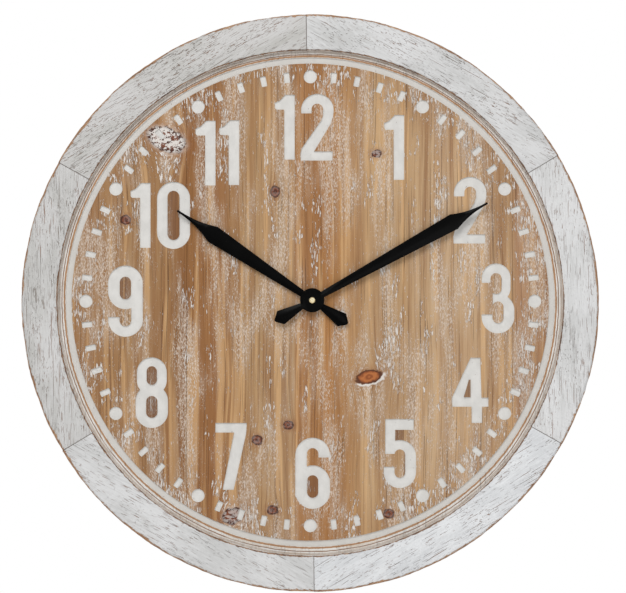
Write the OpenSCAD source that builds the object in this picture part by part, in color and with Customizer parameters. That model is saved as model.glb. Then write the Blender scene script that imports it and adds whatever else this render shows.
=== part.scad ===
// Round farmhouse wall clock: a rim of six mitred boards, a plank dial with routed
// marks, two faceted hands and a battery quartz movement behind the dial.
// Every module draws the clock lying on its back: X to the right, Y up the dial and
// Z from the back of the rim towards the viewer. on_wall() then stands it up, so that
// the wall is the XZ plane, the front faces -Y and the hanger's hole is the origin.

/* [Rim] */
// Outside diameter of the rim
rim_d = 610; // [606:1:614]
// Width of the rim as seen from the front
rim_w = 38.3; // [37.5:0.1:39]
// Depth of the rim boards from back to front
rim_deep = 39; // [39:0.5:46]
// How far the rabbet for the dial is cut under the front lip
rabbet_w = 9.8; // [9.4:0.1:10.2]
// Thickness of the front lip that stands over the dial
lip_deep = 8; // [8:0.5:10]
// Width of the worn bevel on the outer front edge
outer_wear = 2.6; // [0.5:0.1:3]
// Width of the worn bevel on the inner front edge
inner_wear = 1.4; // [0.4:0.1:2]
// Angle of the first rim joint, anticlockwise from 3 o'clock
joint_deg = 30.8; // [29:0.2:32]
// Diameter of the dowels in the rim joints
dowel_d = 8; // [6:1:8]
// Length of the dowels in the rim joints
dowel_len = 36; // [24:1:40]

/* [Dial] */
// Height of the dial's own middle above the middle of the rim
dial_up = 2; // [0:0.5:3]
// Thickness of the dial boards
dial_thick = 10; // [10:0.5:12]
// Open crack between two dial boards
board_gap = 0.4; // [0.2:0.1:1]
// Depth of the routed numbers and marks
mark_deep = 1.6; // [0.8:0.1:1.8]
// Middle radius of the ring groove round the dial
groove_r = 255.6; // [254:0.1:257]
// Height of the ring groove's middle above the middle of the rim
groove_up = 1; // [0:0.5:3]
// Width of the ring groove
groove_w = 6.4; // [3:0.1:7]
// Radius of the circle of minute and hour marks
marks_r = 237.5; // [235:0.5:239]
// Diameter of an hour dot
dot_d = 14; // [8:0.5:16]
// Length of a minute mark
tick_len = 11; // [6:0.5:14]
// Width of a minute mark
tick_w = 6; // [3:0.5:8]
// Width of the upright strokes of the numbers
stroke = 11.2; // [10:0.1:12]
// Width of the two battens behind the boards
batten_w = 40; // [30:1:50]
// Length of the battens
batten_len = 460; // [450:1:464]
// Height of each batten's middle above or below the dial's middle
batten_at = 118; // [100:1:120]

/* [Hands] */
// How far the hand shaft sits right of the middle of the rim
shaft_right = 2; // [0:0.5:3]
// How far the hand shaft sits above the middle of the rim
shaft_rise = 3; // [0:0.5:4]
// Direction of the minute hand, clockwise from 12
minute_deg = 61; // [0:1:359]
// Direction of the hour hand, clockwise from 12
hour_deg = 303.6; // [0:0.1:359.9]
// Length of the minute hand from the hub to its tip
minute_len = 211.5; // [190:0.5:225]
// Distance from the hub to the minute hand's widest point
minute_shoulder = 171; // [150:1:175]
// Width of the minute hand at its widest point
minute_wide = 17.4; // [12:0.2:20]
// Length of the hour hand from the hub to its tip
hour_len = 171; // [150:1:180]
// Distance from the hub to the hour hand's widest point
hour_shoulder = 126; // [110:1:135]
// Width of the hour hand at its widest point
hour_wide = 18.8; // [12:0.2:20]
// Length of the counterweight tail of both hands
tail_len = 45; // [38:1:50]
// Width of the tail at its widest point
tail_wide = 16; // [10:0.5:20]
// Diameter of the round boss of both hands
boss_d = 25.6; // [18:0.2:26]
// Thickness of a hand's edge
hand_thick = 1; // [0.6:0.1:1.2]
// Height of the ridge along the middle of a hand
ridge_high = 1.8; // [1.4:0.1:2]

/* [Movement] */
// Width and height of the movement's case
case_w = 56; // [56:0.5:60]
// Height of the hand shaft above the bottom of the case
shaft_up = 35.5; // [35:0.1:36]
// Wall thickness of the case
case_wall = 1.2; // [1:0.1:1.3]
// Diameter of the battery
battery_d = 14.5; // [14.2:0.1:14.5]
// Length of the battery with its button
battery_len = 50.5; // [49.5:0.1:50.5]
// Play between an arbor and its bearing, on the radius
play = 0.05; // [0.02:0.01:0.08]

/* [Hanger] */
// Radius from the clock's middle to the hanger's round hole
hanger_up = 286; // [285:0.5:287]
// Radius of the hanger's round hole, for the wall screw's head
key_r = 4.5; // [4:0.1:5]
// Width of the hanger's slot, for the wall screw's shank
slot_w = 4.6; // [4:0.1:5]
// Length of the slot above the round hole
slot_len = 8; // [6:0.5:9]
// Thickness of the hanger plate
plate_thick = 1.5; // [1:0.1:2]

/* [Hidden] */
$fn = 96;
eps = 0.01;                       // overshoot of a cutting solid past a face

// Rim and dial, as radii and heights above the rim's back
rim_r = rim_d / 2;
lip_r = rim_r - rim_w;            // edge of the opening in the front
rabbet_r = lip_r + rabbet_w;      // wall of the rabbet that holds the dial
segments = 6;
seg_deg = 360 / segments;
dial_front = rim_deep - lip_deep;
dial_back = dial_front - dial_thick;
dial_r = rabbet_r - 0.5;          // half a millimetre of room round the boards
board_edges = [-dial_r, -131, -16, 99, 214, dial_r];
dowel_r = rim_r - 14;
dowel_heights = [17, 31];

// Wood screws, as shank radius, head radius and head height
screw_r = 1.5;
head_r = 2.9;
head_h = 1.6;
dial_screw_at = (lip_r + rabbet_r) / 2;
dial_screw_len = dial_thick + 5;
batten_thick = 10;
batten_screw_x = [-198, -150, -112, -36, 4, 80, 120, 194, 222];
batten_screw_len = 17;
hanger_screw_x = 16;

// Numbers: each digit with the place of its middle on the dial, 12 to 11 o'clock
digits = [[1, -27, 184.1], [2, 7.5, 184.1], [1, 88.8, 162.7], [2, 169.2, 96.3], [3, 198.6, 3],
    [4, 169.2, -94.3], [5, 94.8, -161.2], [6, 2.5, -182.1], [7, -83.8, -164.2],
    [8, -167.7, -96.8], [9, -195.6, 0], [1, -179.6, 90.8], [0, -144.7, 90.8],
    [1, -110.8, 156.7], [1, -85.8, 157.2]];
digit_reach = 20;                 // half a digit's width, to find the boards it crosses

// Heights in the hand stack
washer_h = 0.8;
nut_h = 2.2;
bush_top = dial_front + 4;
hour_z = bush_top + 0.4;
minute_z = hour_z + 2.6;
boss_h = 1.4;
brass_r = 3.2;
brass_h = 1.8;

// Movement: the case's back face is case_z above the rim's back
case_deep = 16;
gasket_h = 1;
case_z = dial_back - gasket_h - case_deep;
case_split = 5;                   // height of the joint between cover and front case
bush_r = 4;                       // outside radius of the threaded bushing
hour_pipe_r = 2.6;
arbor_r = 1.55;                   // minute arbor
tip_r = 1.2;                      // its threaded tip
pivot_r = 0.6;                    // arbors of the train
knob_stem_r = 1.25;
bay_top = -19.5;                  // upper wall of the battery bay

// Tooth counts
centre_n = 60;  third_pinion_n = 8;
third_n = 64;   seconds_pinion_n = 8;
seconds_n = 60; inter_pinion_n = 12;
inter_n = 60;   rotor_pinion_n = 10;
cannon_n = 12;  motion_n = 36;
motion_pinion_n = 10; hour_n = 40;
knob_n = 12;

// Modules of the teeth: the first two are chosen, the next two give two pairs of gears
// the same distance between centres
fine_mod = 0.3;                   // minute and seconds wheels
set_mod = 0.5;                    // first pair of the motion work
third_mod = fine_mod * (centre_n + third_pinion_n) / (third_n + seconds_pinion_n);
hour_mod = set_mod * (cannon_n + motion_n) / (motion_pinion_n + hour_n);
rotor_mod = 0.25;

// Directions from one arbor to the next, and the arbors' places
to_third = 40;
to_inter = 140;
to_rotor = 215;
to_motion = -35;
to_knob = -30;
third_at = fine_mod * (centre_n + third_pinion_n) / 2 * [cos(to_third), sin(to_third)];
inter_at = fine_mod * (seconds_n + inter_pinion_n) / 2 * [cos(to_inter), sin(to_inter)];
rotor_at = inter_at
    + rotor_mod * (inter_n + rotor_pinion_n) / 2 * [cos(to_rotor), sin(to_rotor)];
motion_at = set_mod * (cannon_n + motion_n) / 2 * [cos(to_motion), sin(to_motion)];
knob_at = motion_at + set_mod * (motion_n + knob_n) / 2 * [cos(to_knob), sin(to_knob)];

// Heights above the case's back: [bottom, top] of each layer of wheels and pinions
rotor_pinion_z = [2.2, 3.6];
inter_wheel_z = [2.5, 3.3];
inter_pinion_z = [3.9, 5.5];
seconds_wheel_z = [4.3, 5.1];
seconds_pinion_z = [5.8, 7.4];
third_wheel_z = [6.2, 7];
third_pinion_z = [7.7, 9.3];
centre_wheel_z = [8.1, 8.9];
mid_plate_z = [9.7, 10.5];
cannon_z = [10.9, 12.3];
motion_wheel_z = [11.2, 12];
motion_pinion_z = [12.4, 13.8];
hour_wheel_z = [12.7, 13.5];
flange_z = [14.2, 14.8];
pivot_foot = 0.6;                 // lower ends of the train's arbors, in the back cover

// Motor
coil_x = -22.8;
coil_z = 6.2;
coil_r = 3.4;
coil_ends = [-9, 10];
core_w = 3.2;
sheet_h = 0.8;                    // thickness of stator, core and circuit board

// Stand the clock up on the wall with the hanger's round hole at the origin
module on_wall() {
    translate([0, 0, -hanger_up]) rotate([90, 0, 0]) children();
}

// The same, for what is laid out round the hand shaft
module on_shaft() {
    on_wall() translate([shaft_right, shaft_rise, 0]) children();
}

// The two heights of something that starts at z and is h thick
function span(z, h) = [z, z + h];

// A solid between two heights, raised from a flat outline
module layer(z) {
    translate([0, 0, z[0]]) linear_extrude(z[1] - z[0]) children();
}

// Copies turned evenly round the dial's middle
module round_dial(count, start = 0) {
    for (i = [0 : count - 1]) rotate(start + i * 360 / count) children();
}

// ---- Rim ----

module rim_profile() {
    polygon([[rabbet_r, 0], [rim_r, 0], [rim_r, rim_deep - outer_wear],
        [rim_r - outer_wear, rim_deep], [lip_r + inner_wear, rim_deep],
        [lip_r, rim_deep - inner_wear], [lip_r, dial_front], [rabbet_r, dial_front]]);
}

// The two dowels across the joint at angle 0
module joint_dowels() {
    for (z = dowel_heights)
        translate([dowel_r, -dowel_len / 2, z]) rotate([-90, 0, 0])
            cylinder(h = dowel_len, d = dowel_d);
}

// A pan-head wood screw pointing forwards, with the underside of its head at z = 0
module wood_screw(length) {
    translate([0, 0, -head_h / 2]) cylinder(h = length + head_h / 2, r = screw_r);
    translate([0, 0, -head_h]) cylinder(h = head_h, r = head_r);
}

module dial_screw_set() {
    round_dial(2 * segments, seg_deg / 4)
        translate([dial_screw_at, 0, dial_back]) wood_screw(dial_screw_len);
}

// Hollow behind the hanger plate for the wall screw's head
module hanger_pocket() {
    translate([0, hanger_up, -eps]) {
        translate([-22, -7.5, 0]) cube([44, 22, plate_thick + eps]);
        cylinder(h = 10, r = key_r + 1);
        translate([-key_r - 1, 0, 0]) cube([2 * key_r + 2, slot_len, 10]);
        translate([0, slot_len, 0]) cylinder(h = 10, r = key_r + 1);
    }
}

module hanger_screw_set() {
    for (side = [-1, 1])
        translate([side * hanger_screw_x, hanger_up + 3.5, plate_thick]) cylinder(h = 10, r = screw_r);
}

module rim_segment(index) {
    start = joint_deg + index * seg_deg;
    color("ivory") on_wall() difference() {
        rotate(start) rotate_extrude(angle = seg_deg) rim_profile();
        for (side = [0, 1]) rotate(start + side * seg_deg) joint_dowels();
        round_dial(2 * segments, seg_deg / 4)
            translate([dial_screw_at, 0, dial_back]) cylinder(h = dial_screw_len, r = screw_r);
        if (index < 2) hanger_pocket();
        if (index < 2) hanger_screw_set();
    }
}

module rim_dowels() {
    color("burlywood") on_wall() round_dial(segments, joint_deg) joint_dowels();
}

// ---- Numbers and marks, as flat outlines centred on their own middles ----

// An upright slot with round ends, between two heights
module oval(w, bottom, top) {
    translate([0, top - w / 2]) circle(d = w);
    translate([0, bottom + w / 2]) circle(d = w);
    translate([-w / 2, bottom + w / 2]) square([w, top - bottom - w]);
}

module digit_0() {
    difference() {
        oval(35, -35.5, 35.5);
        oval(35 - 2 * stroke, -26, 26);
    }
}

module digit_1() {
    polygon([[10.6, -34.3], [10.6, 34.3], [0.7, 34.3], [-5.5, 28], [-10.6, 25.8],
        [-10.6, 20.5], [-9, 18.6], [10.6 - stroke, 18.6], [10.6 - stroke, -34.3]]);
}

module digit_2() {
    difference() {
        translate([0, 18]) circle(r = 17.3);
        translate([0, 18.8]) circle(r = 17.3 - stroke);
        translate([-20, -2]) square([40, 20]);
    }
    translate([-17.3, 14.6]) square([stroke, 3.5]);
    polygon([[17.3 - stroke, 18.1], [17.3, 18.1], [16.8, 12], [14, 3.5], [-3.4, -25.6],
        [16, -25.6], [16, -35.3], [-17.6, -35.3], [-17.9, -28], [-16.6, -22.5],
        [4.6, 8], [17.3 - stroke, 13.5]]);
}

module digit_3() {
    difference() {
        union() {
            translate([-2, 0]) oval(30.8, -4.4, 37);
            oval(34.8, -37, 5);
        }
        translate([-2, 0]) oval(30.8 - 2 * 9.6, 4.6, 26.7);
        oval(34.8 - 2 * 11.6, -26.3, -3.3);
        translate([-20, -17]) square([14.4, 33.4]);
        translate([-7, 9]) square([5, 7.4]);
        translate([-7, -17]) square([3, 9]);
    }
}

module digit_4() {
    difference() {
        polygon([[0.4, 34.5], [10.8, 34.5], [12, -7.7], [19.3, -7.9], [19.3, -17.4],
            [12.6, -17.4], [12.6, -34.5], [1.6, -34.5], [1.6, -17.4], [-19, -17.4],
            [-19.3, -7.7]]);
        polygon([[-1.4, 11.2], [0.4, 11.2], [0.4, -7.3], [-6.8, -7.3]]);
    }
}

module digit_5() {
    difference() {
        union() {
            oval(34.4, -36.6, 14.3);
            translate([-15.5, -0.4]) square([stroke - 0.6, 37]);
            translate([-15.5, 25]) square([30.2, 11.6]);
        }
        oval(34.4 - 2 * 11.6, -25.6, 4.4);
        translate([-20, -14]) square([14.4, 13.6]);
        translate([-20, -0.5]) square([4.5, 16]);
    }
}

module digit_6() {
    difference() {
        union() {
            difference() {
                oval(36.8, -37.7, 37.7);
                oval(12.2, -10, 26.6);
                translate([5.9, -20]) square([20, 36.7]);
            }
            oval(36.8, -37.7, 8.4);
        }
        oval(11.8, -25.9, -2.1);
    }
}

module digit_7() {
    polygon([[-16.6, 35.4], [16.7, 35.4], [15.9, 23.9], [2.8, -35.4], [-9, -35.4],
        [3.2, 25.2], [-16.6, 25.2]]);
}

module digit_8() {
    difference() {
        union() {
            oval(31.8, -2.8, 37.4);
            oval(34.4, -37.4, 8.5);
        }
        oval(10.8, 8.3, 28);
        oval(12, -26.6, -3.5);
    }
}

module digit(value) {
    if (value == 0) digit_0();
    if (value == 1) digit_1();
    if (value == 2) digit_2();
    if (value == 3) digit_3();
    if (value == 4) digit_4();
    if (value == 5) digit_5();
    if (value == 6) digit_6();
    if (value == 7) digit_7();
    if (value == 8) digit_8();
    if (value == 9) rotate(180) digit_6();
}

module tick_outline() {
    corner = 1;
    for (side = [-1, 1], end = [-1, 1])
        translate([side * (tick_w / 2 - corner), end * (tick_len / 2 - corner)]) circle(r = corner);
    square([tick_w - 2 * corner, tick_len], center = true);
    square([tick_w, tick_len - 2 * corner], center = true);
}

// ---- Dial ----

// True where something reaching `reach` either side of x lies on board `index`
function on_board(index, x, reach) =
    x + reach > board_edges[index] && x - reach < board_edges[index + 1];

module board_marks(index) {
    translate([0, groove_up - dial_up]) difference() {
        circle(r = groove_r + groove_w / 2);
        circle(r = groove_r - groove_w / 2);
    }
    for (i = [0 : 59])
        if (on_board(index, marks_r * sin(i * 6), dot_d / 2))
            rotate(-i * 6) translate([0, marks_r]) {
                if (i % 5 == 0) circle(d = dot_d);
                else tick_outline();
            }
    for (d = digits)
        if (on_board(index, d[1], digit_reach)) translate([d[1], d[2]]) digit(d[0]);
}

module dial_board(index) {
    left = board_edges[index] + board_gap / 2;
    right = board_edges[index + 1] - board_gap / 2;
    color("peru") on_wall() difference() {
        translate([0, 0, dial_back]) linear_extrude(dial_thick) intersection() {
            circle(r = dial_r);
            translate([left, -dial_r]) square([right - left, 2 * dial_r]);
        }
        translate([0, dial_up, dial_front - mark_deep]) linear_extrude(mark_deep + 1)
            board_marks(index);
        for (i = [0 : 2 * segments - 1]) {
            a = seg_deg / 4 + i * seg_deg / 2;
            if (on_board(index, dial_screw_at * cos(a), 2 * screw_r))
                rotate(a) translate([dial_screw_at, 0, dial_back - 1])
                    cylinder(h = dial_thick + 2, r = screw_r);
        }
        for (x = batten_screw_x, side = [-1, 1])
            if (on_board(index, x, 0))
                translate([x, side * batten_at, dial_back - 1])
                    cylinder(h = batten_screw_len - batten_thick + 1, r = screw_r);
        if (on_board(index, shaft_right, bush_r))
            translate([shaft_right, shaft_rise, dial_back - 1])
                cylinder(h = dial_thick + 2, r = bush_r + 0.2);
    }
}

module dial_screws() {
    color("silver") on_wall() dial_screw_set();
}

module batten(side) {
    color("tan") on_wall() difference() {
        translate([-batten_len / 2, side * batten_at - batten_w / 2, dial_back - batten_thick])
            cube([batten_len, batten_w, batten_thick]);
        for (x = batten_screw_x)
            translate([x, side * batten_at, dial_back - batten_thick - 1])
                cylinder(h = batten_thick + 2, r = screw_r);
    }
}

module batten_upper() { batten(1); }

module batten_lower() { batten(-1); }

module batten_screws() {
    color("silver") on_wall()
        for (x = batten_screw_x, side = [-1, 1])
            translate([x, side * batten_at, dial_back - batten_thick])
                wood_screw(batten_screw_len);
}

// ---- Hanging hardware ----

module hanger_plate() {
    color("silver") on_wall() translate([0, hanger_up, 0]) difference() {
        translate([-22, -7.5, 0]) cube([44, 22, plate_thick]);
        translate([0, 0, -1]) {
            cylinder(h = plate_thick + 2, r = key_r);
            translate([-slot_w / 2, 0, 0]) cube([slot_w, slot_len, plate_thick + 2]);
            translate([0, slot_len, 0]) cylinder(h = plate_thick + 2, r = slot_w / 2);
            for (side = [-1, 1])
                translate([side * hanger_screw_x, 3.5, 0])
                    cylinder(h = plate_thick + 2, r = screw_r);
        }
    }
}

module hanger_screws() {
    color("gold") on_wall()
        for (side = [-1, 1]) translate([side * hanger_screw_x, hanger_up + 3.5, 0]) {
            translate([0, 0, -0.6]) cylinder(h = plate_thick + 10.6, r = screw_r);
            translate([0, 0, -1.2]) cylinder(h = 1.2, r = head_r);
        }
}

module wall_bumpers() {
    color("dimgray") on_wall() round_dial(4, 45)
        translate([dowel_r, 0, -2]) cylinder(h = 2, r = 6);
}

// ---- Movement ----

// Place something in the movement, whose back face is case_z above the rim's back
module in_case() {
    on_shaft() translate([0, 0, case_z]) children();
}

// Rounded square outline of the case, smaller all round by `inset`
module case_outline(inset) {
    corner = 2.5 - inset;
    half = case_w / 2 - inset;
    low = -shaft_up + inset;
    for (x = [-half + corner, half - corner], y = [low + corner, low + 2 * half - corner])
        translate([x, y]) circle(r = corner);
    translate([-half + corner, low]) square([2 * (half - corner), 2 * half]);
    translate([-half, low + corner]) square([2 * half, 2 * (half - corner)]);
}

// Wall between the wheels and the battery bay
module bay_wall(z) {
    layer(z) translate([-case_w / 2 + case_wall / 2, bay_top]) square([case_w - case_wall, case_wall]);
}

module movement_front_case() {
    front = case_deep - case_wall;
    color("#26282b") in_case() difference() {
        union() {
            difference() {
                layer([case_split, case_deep]) case_outline(0);
                layer([case_split - 1, front]) case_outline(case_wall);
            }
            bay_wall([case_split, front + eps]);
        }
        cylinder(h = case_deep + 1, r = bush_r);
        translate([motion_at.x, motion_at.y, front - 1]) cylinder(h = 1.6, r = pivot_r + play);
    }
}

module movement_back_cover() {
    inner = case_w / 2 - case_wall;
    color("#303236") in_case() difference() {
        union() {
            difference() {
                layer([0, case_split]) case_outline(0);
                layer([case_wall, case_split + 1]) case_outline(case_wall);
            }
            bay_wall([case_wall - eps, case_split]);
        }
        translate([-inner, -shaft_up + case_wall, -1])
            cube([2 * inner, shaft_up - case_wall + bay_top, case_split + 2]);
        for (p = [[0, 0], third_at, inter_at, rotor_at])
            translate([p.x, p.y, pivot_foot - 0.1]) cylinder(h = 2, r = pivot_r + play);
        translate([knob_at.x, knob_at.y, -1]) cylinder(h = 4, r = knob_stem_r + play);
        for (side = [-1, 1])
            translate([side * (inner - 0.3) - 0.5, bay_top - 1, case_wall])
                cube([1, case_wall + 2, 1.4]);
    }
}

module middle_plate() {
    half = case_w / 2 - case_wall;
    top = case_w - shaft_up - case_wall;
    low = bay_top + case_wall;
    color("whitesmoke") in_case() difference() {
        layer(mid_plate_z) difference() {
            intersection() {
                case_outline(case_wall);
                translate([-half, low]) square([2 * half, top - low]);
            }
            for (p = [third_at, inter_at, rotor_at, motion_at])
                translate(p) circle(r = pivot_r + play);
            translate(knob_at) circle(r = knob_stem_r + play);
            circle(r = arbor_r + play);
        }
    }
}

// A bushing, nut or washer: a ring between two heights
module ring(z, outer, inner) {
    layer(z) difference() {
        circle(r = outer);
        circle(r = inner);
    }
}

module shaft_bushing() {
    color("goldenrod") in_case() rotate_extrude() polygon([
        [hour_pipe_r + play, flange_z[0]], [6, flange_z[0]], [6, flange_z[1]],
        [bush_r, flange_z[1]], [bush_r, bush_top - case_z], [hour_pipe_r + play, bush_top - case_z]]);
}

module bushing_gasket() {
    color("dimgray") on_shaft() ring(span(dial_back - gasket_h, gasket_h), 9, bush_r);
}

module bushing_washer() {
    color("silver") on_shaft() ring(span(dial_front, washer_h), 8, bush_r);
}

module bushing_nut() {
    color("goldenrod") on_shaft() layer(span(dial_front + washer_h, nut_h)) difference() {
        circle(r = 6.3, $fn = 6);
        circle(r = bush_r);
    }
}

// ---- Battery and electronics ----

module battery() {
    inner = case_w / 2 - case_wall;
    button = 1.2;
    color("darkgoldenrod") in_case()
        translate([inner - 0.5, -shaft_up + case_wall + 7.4, 7.4]) rotate([0, -90, 0]) {
            cylinder(h = button + eps, r = 2.7);
            translate([0, 0, button]) cylinder(h = battery_len - button, d = battery_d);
        }
}

// A spring strip along the bay's end wall, with a leg past the bay wall to the board
module contact_strip(leg_end) {
    inner = case_w / 2 - case_wall;
    translate([inner - 0.5, -32, 2]) cube([0.5, 11.5, 10]);
    translate([inner - 0.4, -20.5, case_wall]) cube([0.4, leg_end + 20.5, 1.2]);
    translate([inner - 0.5, -21, case_wall]) cube([0.5, 1, 3]);
}

module battery_contact_plus() {
    color("silver") in_case() contact_strip(12);
}

module battery_contact_minus() {
    inner = case_w / 2 - case_wall;
    bow = 2 * inner - 1 - battery_len;
    color("silver") in_case() {
        mirror([1, 0, 0]) contact_strip(16);
        layer([4, 11]) polygon([[0.5 - inner - eps, -31], [0.5 - inner + bow, -27.5],
            [0.5 - inner + bow, -26], [0.5 - inner - eps, -22.5], [0.5 - inner - eps, -23.3],
            [bow - inner - 0.1, -26.5], [bow - inner - 0.1, -27], [0.5 - inner - eps, -30.2]]);
    }
}

module circuit_board() {
    color("darkgreen") in_case() layer(span(case_wall, sheet_h))
        translate([-1, 11.2]) square([27, 7.6]);
}

module clock_chip() {
    color("black") in_case() translate([6, 15, case_wall + sheet_h]) rotate_extrude()
        polygon([[0, 0], [3, 0], [2.8, 0.5], [2, 0.95], [0, 1.2]]);
}

module quartz_crystal() {
    color("silver") in_case() translate([15, 15, case_wall + sheet_h + 1]) rotate([0, 90, 0])
        cylinder(h = 6, r = 1);
}

// ---- Motor ----

module stator() {
    bar = [rotor_at.x - 3.5, rotor_at.x + 5.2];
    color("lightsteelblue") in_case() layer(span(coil_z - 1.5 * sheet_h, sheet_h)) difference() {
        union() {
            translate([bar[0], -15]) square([bar[1] - bar[0], 31]);
            translate([coil_x - 2, -15]) square([bar[0] - coil_x + 3, 4]);
            translate([coil_x - 2, 12]) square([bar[0] - coil_x + 3, 4]);
        }
        translate(rotor_at) circle(r = 3.4);
        for (y = [-10, 10.6]) translate([bar[1] - 3.2, y - 0.6]) square([4, 1.2]);
    }
}

module coil_core() {
    color("lightsteelblue") in_case() translate([coil_x - core_w / 2, -14.6, coil_z - sheet_h / 2])
        cube([core_w, 30.2, sheet_h]);
}

// Solid of revolution round the coil's own axis
module coil_turned() {
    translate([coil_x, 0, coil_z]) rotate([90, 0, 0]) mirror([0, 0, 1]) rotate_extrude() children();
}

module coil_bobbin() {
    color("whitesmoke") in_case() difference() {
        coil_turned() polygon([[0, coil_ends[0]], [coil_r, coil_ends[0]],
            [coil_r, coil_ends[0] + 0.8], [2, coil_ends[0] + 0.8], [2, coil_ends[1] - 0.8],
            [coil_r, coil_ends[1] - 0.8], [coil_r, coil_ends[1]], [0, coil_ends[1]]]);
        translate([coil_x - core_w / 2, -14.6, coil_z - sheet_h / 2])
            cube([core_w, 30.2, sheet_h]);
    }
}

module coil_winding() {
    color("sienna") in_case() coil_turned() translate([2, coil_ends[0] + 0.8])
        square([coil_r - 2.2, coil_ends[1] - coil_ends[0] - 1.6]);
}

// ---- Wheels ----

// Outline of a gear with a tooth centred on the direction `aim`
module gear_outline(teeth, mod, aim) {
    root = mod * (teeth / 2 - 1.15);
    tip = mod * (teeth / 2 + 0.8);
    pitch = 360 / teeth;
    polygon([for (i = [0 : teeth - 1], c = [[root, -0.3], [tip, -0.11], [tip, 0.11], [root, 0.3]])
        let (a = aim + (i + c[1]) * pitch) c[0] * [cos(a), sin(a)]]);
}

// The pinion of a meshed pair has a tooth on the line of centres
module pinion(z, teeth, mod, toward) {
    layer(z) gear_outline(teeth, mod, toward);
}

// The wheel of a meshed pair has a gap there, and five round windows
module wheel(z, teeth, mod, toward, hub) {
    r = teeth * mod / 2;
    layer(z) difference() {
        gear_outline(teeth, mod, toward + 180 / teeth);
        for (i = [0 : 4]) rotate(i * 72) translate([(r + hub) / 2, 0]) circle(r = (r - hub) * 0.3);
    }
}

module arbor(bottom, top, r) {
    translate([0, 0, bottom]) cylinder(h = top - bottom, r = r);
}

module rotor() {
    color("darkslategray") in_case() translate(rotor_at) {
        pinion(rotor_pinion_z, rotor_pinion_n, rotor_mod, to_rotor + 180);
        arbor(pivot_foot, mid_plate_z[1], pivot_r);
        arbor(coil_z - 1.8, coil_z + 0.4, 2.9);
    }
}

module intermediate_wheel() {
    color("white") in_case() translate(inter_at) {
        wheel(inter_wheel_z, inter_n, rotor_mod, to_rotor, 2.2);
        pinion(inter_pinion_z, inter_pinion_n, fine_mod, to_inter + 180);
        arbor(pivot_foot, mid_plate_z[1], pivot_r);
        arbor(inter_wheel_z[0], inter_pinion_z[0] + eps, 1.3);
    }
}

module seconds_wheel() {
    color("white") in_case() {
        wheel(seconds_wheel_z, seconds_n, fine_mod, to_inter, 2.2);
        pinion(seconds_pinion_z, seconds_pinion_n, third_mod, to_third);
        arbor(pivot_foot, centre_wheel_z[0] - 0.1, pivot_r);
        arbor(seconds_wheel_z[0], seconds_pinion_z[0] + eps, 0.8);
    }
}

module third_wheel() {
    color("white") in_case() translate(third_at) {
        wheel(third_wheel_z, third_n, third_mod, to_third + 180, 2.2);
        pinion(third_pinion_z, third_pinion_n, fine_mod, to_third + 180);
        arbor(pivot_foot, mid_plate_z[1], pivot_r);
        arbor(third_wheel_z[0], third_pinion_z[0] + eps, 0.8);
    }
}

module centre_wheel() {
    color("white") in_case() difference() {
        wheel(centre_wheel_z, centre_n, fine_mod, to_third, 3.4);
        translate([0, 0, centre_wheel_z[0] - 1]) cylinder(h = 3, r = arbor_r);
    }
}

module minute_arbor() {
    color("goldenrod") in_case() difference() {
        union() {
            arbor(third_pinion_z[0] - 0.2, minute_z - case_z, arbor_r);
            arbor(minute_z - case_z - eps, minute_z - case_z + boss_h, arbor_r);
            arbor(minute_z - case_z, minute_z - case_z + boss_h + brass_h - 0.3, tip_r);
            arbor(third_pinion_z[0] - 0.2, centre_wheel_z[0], 2.6);
            pinion(cannon_z, cannon_n, set_mod, to_motion);
        }
        arbor(0, centre_wheel_z[0], pivot_r + play);
    }
}

module motion_wheel() {
    color("white") in_case() translate(motion_at) {
        wheel(motion_wheel_z, motion_n, set_mod, to_motion + 180, 3);
        pinion(motion_pinion_z, motion_pinion_n, hour_mod, to_motion + 180);
        arbor(mid_plate_z[0] + 0.2, flange_z[1] + 0.4, pivot_r);
        arbor(motion_wheel_z[1] - eps, motion_pinion_z[0] + eps, 1.2);
    }
}

module hour_wheel() {
    color("white") in_case() difference() {
        union() {
            wheel(hour_wheel_z, hour_n, hour_mod, to_motion, 4);
            arbor(hour_wheel_z[0], hour_z + boss_h + 0.4 - case_z, hour_pipe_r);
        }
        arbor(0, minute_z, arbor_r + play);
    }
}

module set_knob() {
    teeth = 24;
    color("white") in_case() translate(knob_at) {
        layer([-3.4, -0.4]) for (i = [0 : teeth - 1]) rotate(i * 360 / teeth)
            polygon([[0, 0], [5.4, -0.72], [6, 0], [5.4, 0.72]]);
        arbor(-0.4 - eps, cannon_z[1], knob_stem_r);
        layer(cannon_z) gear_outline(knob_n, set_mod, to_knob + 180 + 180 / knob_n);
    }
}

// ---- Hands ----

hub_half = 3;                     // half width of both blades at the hub
tail_near = 3.4;                  // half width of the tail where it leaves the boss
tip_half = 1.1;                   // half width of the blunt tip
tail_full = 0.84;                 // share of the tail's length at which it is widest

// Half width of a blade at a distance from the hub: widening, then swept in to the tip
function blade_half(r, shoulder, length, wide) = r <= shoulder
    ? hub_half + (wide / 2 - hub_half) * r / shoulder
    : tip_half + (wide / 2 - tip_half) * pow(1 - (r - shoulder) / (length - shoulder), 2.3);

// Half width of the kite-shaped tail
function tail_half(r) = r <= tail_full * tail_len
    ? lerp(tail_near, tail_wide / 2, (r - boss_d / 2) / (tail_full * tail_len - boss_d / 2))
    : lerp(tip_half, tail_wide / 2, (tail_len - r) / (tail_len * (1 - tail_full)));

function lerp(a, b, t) = a + (b - a) * t;

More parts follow.
